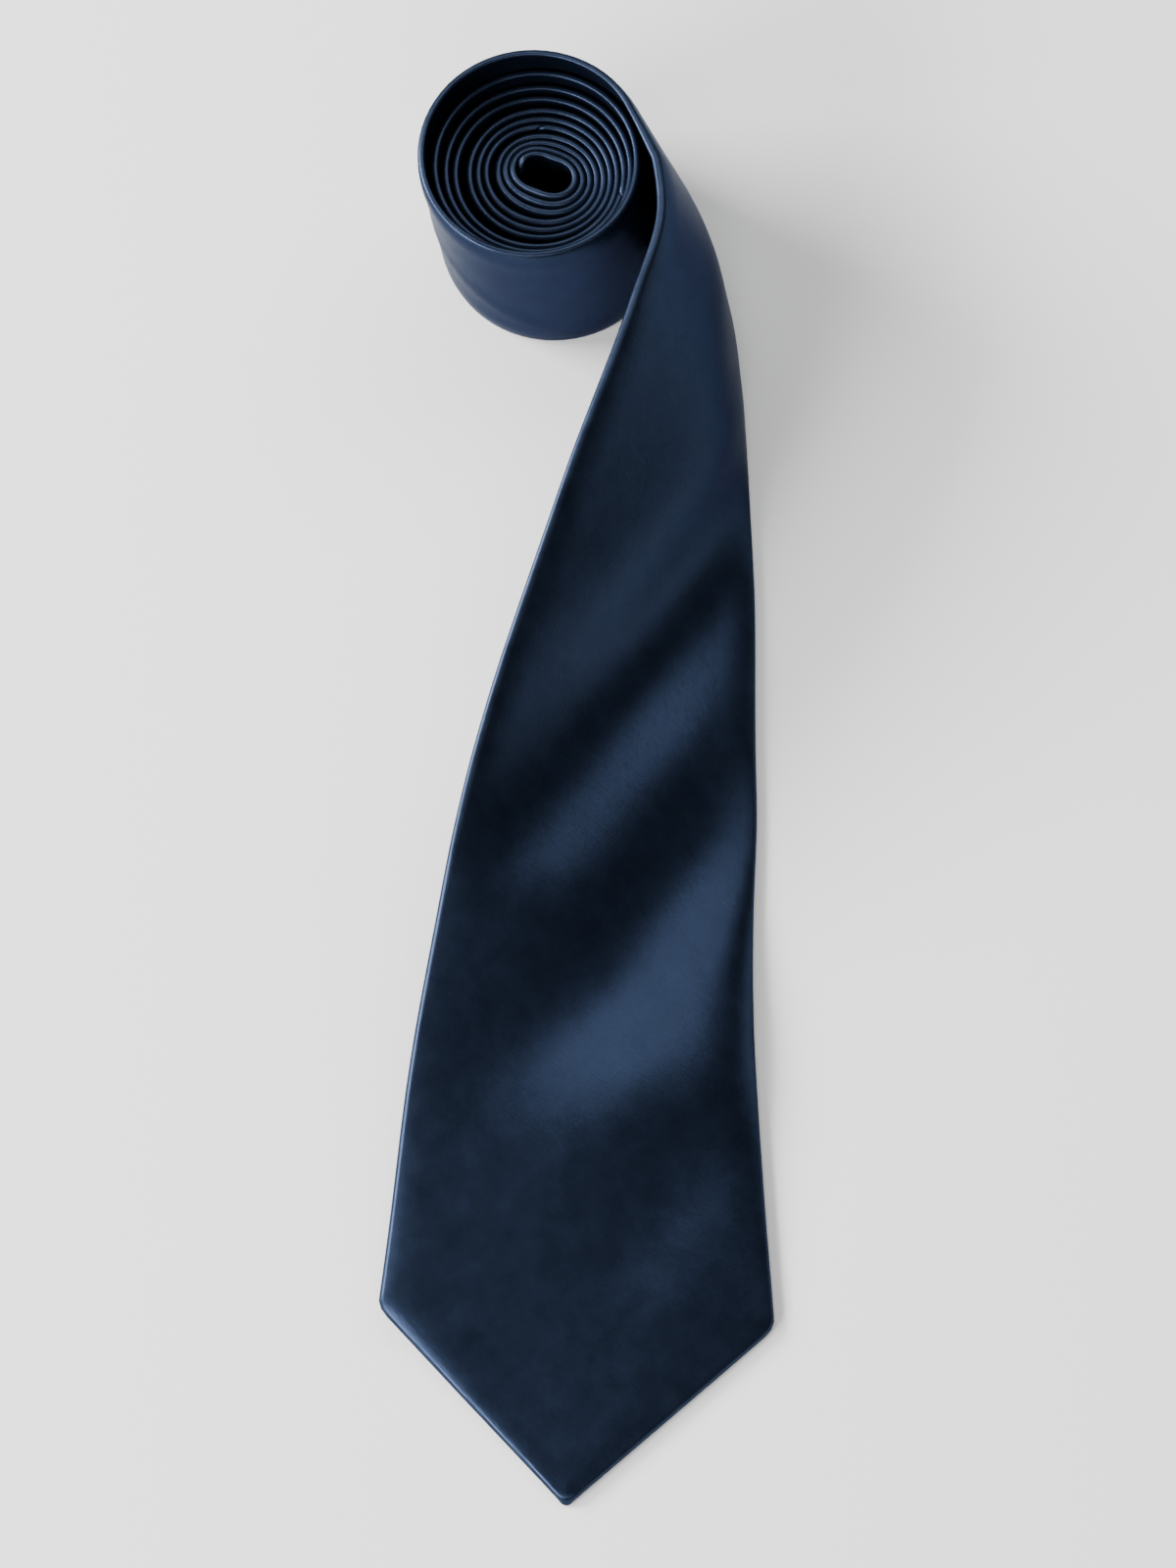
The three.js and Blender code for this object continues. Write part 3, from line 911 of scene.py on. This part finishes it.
def addCareLabel():
    rows = np.linspace(trims["careStart"], trims["careStart"] + trims["careWidth"], 21)
    drops, rises = np.linspace(0, trims["careDrop"], 17), np.linspace(0, trims["careTab"], 7)
    hang = clothPiece("care_ribbon", rows, drops, careHang, trims["careThick"], 0)
    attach(hang, "care_label")
    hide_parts("care_label")
    tab = clothPiece("care_ribbon_tab", rows, rises, careTab, trims["careThick"], 0)
    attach(tab, "tie")
    return hang, tab


careRibbon, careRibbonTab = addCareLabel()


def careLine(s, rise):
    across = middleAt(s) + trims["careAbove"] + 1.5
    return lay(s, across, backAt(s) + trims["careGap"] + 0.2 + rise)


addStitches(
    "care_stitches", "care_label_stitch", careLine,
    trims["careStart"], trims["careStart"] + trims["careWidth"],
)
print("threads and labels sewn on")

# ---- materials ----


def newGroup(name, inputs, outputs):
    group = bpy.data.node_groups.new(name, "ShaderNodeTree")
    for label, kind, value in inputs:
        socket = group.interface.new_socket(name=label, in_out="INPUT", socket_type=kind)
        if value is not None:
            socket.default_value = value
    for label, kind in outputs:
        group.interface.new_socket(name=label, in_out="OUTPUT", socket_type=kind)
    return group, group.nodes.new("NodeGroupInput"), group.nodes.new("NodeGroupOutput")


def addNode(tree, kind, settings=None, inputs=None):
    node = tree.nodes.new(kind)
    for name, value in (settings or {}).items():
        setattr(node, name, value)
    for name, value in (inputs or {}).items():
        if isinstance(value, bpy.types.NodeSocket):
            tree.links.new(value, node.inputs[name])
        else:
            node.inputs[name].default_value = value
    return node


def mathNode(tree, operation, *values):
    return addNode(tree, "ShaderNodeMath", {"operation": operation}, dict(enumerate(values))).outputs[0]


def mixColours(tree, amount, first, second):
    node = addNode(tree, "ShaderNodeMix", {"data_type": "RGBA"})
    for index, value in ((0, amount), (6, first), (7, second)):
        if isinstance(value, bpy.types.NodeSocket):
            tree.links.new(value, node.inputs[index])
        else:
            node.inputs[index].default_value = value
    return node.outputs[2]


# Two sets of crossing threads at a given angle. Height is the weave's relief, Tone differs from
# thread to thread, and Slub is a slow unevenness.
def buildWeaveGroup():
    group, entry, leave = newGroup(
        "crossing threads",
        [
            ("Cloth", "NodeSocketVector", None),
            ("Thread", "NodeSocketFloat", 0.0003),
            ("Angle", "NodeSocketFloat", 45.0),
            ("Float", "NodeSocketFloat", 8.0),
        ],
        [("Height", "NodeSocketFloat"), ("Tone", "NodeSocketFloat"), ("Slub", "NodeSocketFloat")],
    )
    cloth, thread, angle, floatLength = entry.outputs[:4]
    turned = addNode(group, "ShaderNodeVectorRotate", {"rotation_type": "Z_AXIS"}, {
        "Vector": cloth, "Angle": mathNode(group, "RADIANS", angle),
    }).outputs[0]
    perThread = mathNode(group, "DIVIDE", 1.0, thread)
    perFloat = mathNode(group, "DIVIDE", perThread, floatLength)
    fine = addNode(group, "ShaderNodeCombineXYZ", None, {"X": perThread, "Y": perFloat, "Z": 0.0})
    along = addNode(group, "ShaderNodeVectorMath", {"operation": "MULTIPLY"}, {
        0: turned, 1: fine.outputs[0],
    })
    floats = addNode(group, "ShaderNodeTexNoise", {"noise_dimensions": "2D"}, {
        "Vector": along.outputs[0], "Scale": 1.0, "Detail": 1.0, "Roughness": 0.5,
    })
    parts = addNode(group, "ShaderNodeSeparateXYZ", None, {"Vector": turned})
    ridges = []
    for part, repeat in ((parts.outputs["X"], 1.0), (parts.outputs["Y"], 0.5)):
        crossed = mathNode(group, "MULTIPLY", part, perThread)
        phase = mathNode(group, "MULTIPLY", crossed, repeat * 2 * math.pi)
        ridges.append(mathNode(group, "SINE", phase))
    crossing = mathNode(group, "MULTIPLY_ADD", ridges[1], 0.25, ridges[0])
    height = mathNode(group, "MULTIPLY_ADD", crossing, 0.2, floats.outputs[0])
    slub = addNode(group, "ShaderNodeTexNoise", {"noise_dimensions": "2D"}, {
        "Vector": turned, "Scale": 160.0, "Detail": 3.0, "Roughness": 0.6,
    })
    group.links.new(height, leave.inputs["Height"])
    group.links.new(floats.outputs[0], leave.inputs["Tone"])
    group.links.new(slub.outputs[0], leave.inputs["Slub"])
    return group


weaveGroup = buildWeaveGroup()


def newMaterial(name, constants):
    material = bpy.data.materials.new(name)
    material.use_nodes = True
    tree = material.node_tree
    shader = tree.nodes["Principled BSDF"]
    for socket, value in constants.items():
        shader.inputs[socket].default_value = value
    return material, tree, shader


def weaveNode(tree, thread, angle, floatLength):
    node = addNode(tree, "ShaderNodeGroup", {"node_tree": weaveGroup}, {
        "Thread": thread, "Angle": angle, "Float": floatLength,
    })
    cloth = addNode(tree, "ShaderNodeUVMap", {"uv_map": "cloth"})
    tree.links.new(cloth.outputs[0], node.inputs["Cloth"])
    return node


def addBump(tree, shader, height, strength, distance):
    bump = addNode(tree, "ShaderNodeBump", None, {
        "Strength": strength, "Distance": distance, "Height": height,
    })
    tree.links.new(bump.outputs[0], shader.inputs["Normal"])


satinLook = {
    "dark": (0.0105, 0.0162, 0.0320, 1),
    "light": (0.0190, 0.0292, 0.0580, 1),
    # The lighter navy below is a painted highlight for the satin's folded edges.
    "edgeColour": (0.034, 0.047, 0.08, 1),
    "lustre": 0.85,  # dyed satin threads tint what they reflect, as a metal does
    "roughness": (0.30, 0.38),
    "thread": 0.00028,
    "bump": 0.22,
}


def makeSatin(look):
    material, tree, shader = newMaterial("navy satin", {
        "Metallic": look["lustre"],
        "Specular IOR Level": 0.3,
        "Specular Tint": (0.36, 0.39, 0.46, 1),
    })
    weave = weaveNode(tree, look["thread"], 45.0, 7.0)
    threadTone = mathNode(tree, "MULTIPLY", weave.outputs["Tone"], 0.4)
    tone = mathNode(tree, "MULTIPLY_ADD", weave.outputs["Slub"], 0.7, threadTone)
    colour = mixColours(tree, tone, look["dark"], look["light"])
    # A painted highlight along the folds: where the fold attribute marks them, mottled by the slub, the
    # colour is mixed towards a lighter navy. The same mask makes the folds a little rougher.
    fold = addNode(tree, "ShaderNodeAttribute", {"attribute_name": "fold"}).outputs["Fac"]
    foldHighlightMask = mathNode(tree, "MULTIPLY", fold, mathNode(tree, "MULTIPLY", weave.outputs["Slub"], 0.9))
    colour = mixColours(tree, foldHighlightMask, colour, look["edgeColour"])
    tree.links.new(colour, shader.inputs["Base Color"])
    spread = look["roughness"][1] - look["roughness"][0]
    rough = mathNode(tree, "MULTIPLY_ADD", weave.outputs["Slub"], spread, look["roughness"][0])
    tree.links.new(mathNode(tree, "MULTIPLY_ADD", foldHighlightMask, 0.08, rough), shader.inputs["Roughness"])
    addBump(tree, shader, weave.outputs["Height"], look["bump"], look["thread"] * 0.35)
    return material


# Brushed wool: short crossing fibres in all directions.
def makeWool():
    material, tree, shader = newMaterial("brushed wool", {
        "Sheen Weight": 0.5, "Sheen Roughness": 0.6, "Specular IOR Level": 0.2, "Roughness": 0.95,
    })
    weave = weaveNode(tree, 0.0006, 0.0, 2.5)
    fuzz = addNode(tree, "ShaderNodeTexNoise", None, {
        "Vector": addNode(tree, "ShaderNodeTexCoord").outputs["Object"], "Scale": 2500.0, "Detail": 4.0,
    })
    fuzzTone = mathNode(tree, "MULTIPLY", fuzz.outputs[0], 0.5)
    tone = mathNode(tree, "MULTIPLY_ADD", weave.outputs["Tone"], 0.5, fuzzTone)
    colour = mixColours(tree, tone, (0.42, 0.39, 0.33, 1), (0.68, 0.65, 0.58, 1))
    tree.links.new(colour, shader.inputs["Base Color"])
    relief = mathNode(tree, "ADD", fuzz.outputs[0], weave.outputs["Height"])
    addBump(tree, shader, relief, 0.5, 0.0002)
    return material


def makeRibbon(name, dark, light, thread, angle, roughness, edgeColour, fraction):
    material, tree, shader = newMaterial(name, {
        "Sheen Weight": 0.1, "Sheen Roughness": 0.4, "Specular IOR Level": 0.3,
    })
    weave = weaveNode(tree, thread, angle, 5.0)
    slubTone = mathNode(tree, "MULTIPLY", weave.outputs["Slub"], 0.4)
    tone = mathNode(tree, "MULTIPLY_ADD", weave.outputs["Tone"], 0.6, slubTone)
    colour = mixColours(tree, tone, dark, light)
    # The parts that the fold attribute marks are mixed towards the last colour given: the woven label's
    # short ends go lighter and the care ribbon's bottom edge darker. The lining and the care tab have
    # no such parts.
    edge = addNode(tree, "ShaderNodeAttribute", {"attribute_name": "fold"}).outputs["Fac"]
    colour = mixColours(tree, mathNode(tree, "MULTIPLY", edge, fraction), colour, edgeColour)
    tree.links.new(colour, shader.inputs["Base Color"])
    rough = mathNode(tree, "MULTIPLY_ADD", weave.outputs["Slub"], 0.14, roughness)
    tree.links.new(rough, shader.inputs["Roughness"])
    addBump(tree, shader, weave.outputs["Height"], 0.4, thread * 0.4)
    return material


# Twisted thread: fine slanted strands, with a few stray lighter ones.
def makeThread():
    material, tree, shader = newMaterial("navy thread", {
        "Sheen Weight": 0.3, "Sheen Roughness": 0.5, "Specular IOR Level": 0.4, "Roughness": 0.62,
    })
    place = addNode(tree, "ShaderNodeTexCoord").outputs["Object"]
    strands = addNode(tree, "ShaderNodeTexWave", {"bands_direction": "DIAGONAL"}, {
        "Vector": place, "Scale": 1800.0, "Distortion": 2.0, "Detail": 1.0,
    })
    stray = addNode(tree, "ShaderNodeTexNoise", None, {"Vector": place, "Scale": 900.0, "Detail": 3.0})
    tone = mathNode(tree, "MULTIPLY", strands.outputs["Fac"], stray.outputs[0])
    colour = mixColours(tree, tone, (0.005, 0.008, 0.016, 1), (0.022, 0.03, 0.055, 1))
    tree.links.new(colour, shader.inputs["Base Color"])
    addBump(tree, shader, strands.outputs["Fac"], 0.5, 0.00005)
    return material


satin = makeSatin(satinLook)
thread = makeThread()
lining = makeRibbon(
    "dark lining", (0.004, 0.006, 0.011, 1), (0.013, 0.018, 0.03, 1), 0.0002, 0.0, 0.35,
    (0.02, 0.025, 0.04, 1), 0.3,
)
labelSatin = makeRibbon(
    "woven label satin", (0.006, 0.008, 0.014, 1), (0.022, 0.027, 0.04, 1), 0.00026, 90.0, 0.4,
    (0.1, 0.11, 0.13, 1), 0.7,
)
careSatin = makeRibbon(
    "white ribbon satin", (0.56, 0.55, 0.53, 1), (0.8, 0.79, 0.77, 1), 0.00022, 0.0, 0.45,
    (0.5, 0.48, 0.45, 1), 0.5,
)
brushedWool = makeWool()

for piece in bpy.context.scene.objects:
    if piece.type == "CURVE":
        piece.data.materials.append(thread)
for piece in (bladeCloth, neckCloth, tailCloth, keeper):
    piece.data.materials.append(satin)
for piece in (bladeLining, tailLining):
    piece.data.materials.append(lining)
wool.data.materials.append(brushedWool)
wovenLabel.data.materials.append(labelSatin)
for piece in (careRibbon, careRibbonTab):
    piece.data.materials.append(careSatin)
print("materials made")

# ---- floor, light and air ----

stage = {
    "floor": (0.84, 0.84, 0.83, 1),
    "world": (1.0, 0.97, 0.92),
    "worldStrength": 0.12,
}

lights = {
    # Where each one stands, its turn about its own axis, width, height, watts and colour.
    "far window": ((0.22, 0.88, 1.33), 19.0, 2.2, 0.8, 20.0, (0.96, 0.98, 1.0)),
    "near soft": ((-1.3, -1.1, 0.95), 0.0, 1.0, 0.7, 65.0, (1.0, 1.0, 1.0)),
    "left soft": ((-1.6, 0.4, 0.9), 0.0, 1.0, 0.7, 90.0, (1.0, 1.0, 1.0)),
    "top soft": ((0.1, -1.5, 1.5), 0.0, 0.9, 0.6, 14.0, (1.0, 1.0, 1.0)),
}


def paintFloor():
    material, tree, shader = newMaterial("pale floor", {"Roughness": 0.75, "Specular IOR Level": 0.2})
    place = addNode(tree, "ShaderNodeTexCoord").outputs["Object"]
    cloud = addNode(tree, "ShaderNodeTexNoise", None, {"Vector": place, "Scale": 3.0, "Detail": 2.0})
    shade = tuple(0.97 * value for value in stage["floor"][:3]) + (1,)
    colour = mixColours(tree, cloud.outputs[0], shade, stage["floor"])
    tree.links.new(colour, shader.inputs["Base Color"])
    floor.data.materials.append(material)


def addLight(name, source, turn, width, height, watts, colour):
    data = bpy.data.lights.new(name, "AREA")
    data.shape = "RECTANGLE"
    data.size, data.size_y = width, height
    data.energy = watts
    data.color = colour
    light = bpy.data.objects.new(name, data)
    light.location = source
    facing = (-Vector(source)).to_track_quat("-Z", "Y").to_matrix()
    light.rotation_euler = (facing @ Matrix.Rotation(math.radians(turn), 3, "Z")).to_euler()
    bpy.context.collection.objects.link(light)


def setWorld():
    world = bpy.data.worlds.new("studio")
    world.use_nodes = True
    background = world.node_tree.nodes["Background"]
    background.inputs["Color"].default_value = (*stage["world"], 1)
    background.inputs["Strength"].default_value = stage["worldStrength"]
    bpy.context.scene.world = world


paintFloor()
for name, settings in lights.items():
    addLight(name, *settings)
setWorld()
print("stage lit")

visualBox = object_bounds()
sizes = {"cad": cadBox, "visual": visualBox}
{name: [list(corner) for corner in box] for name, box in sizes.items()}
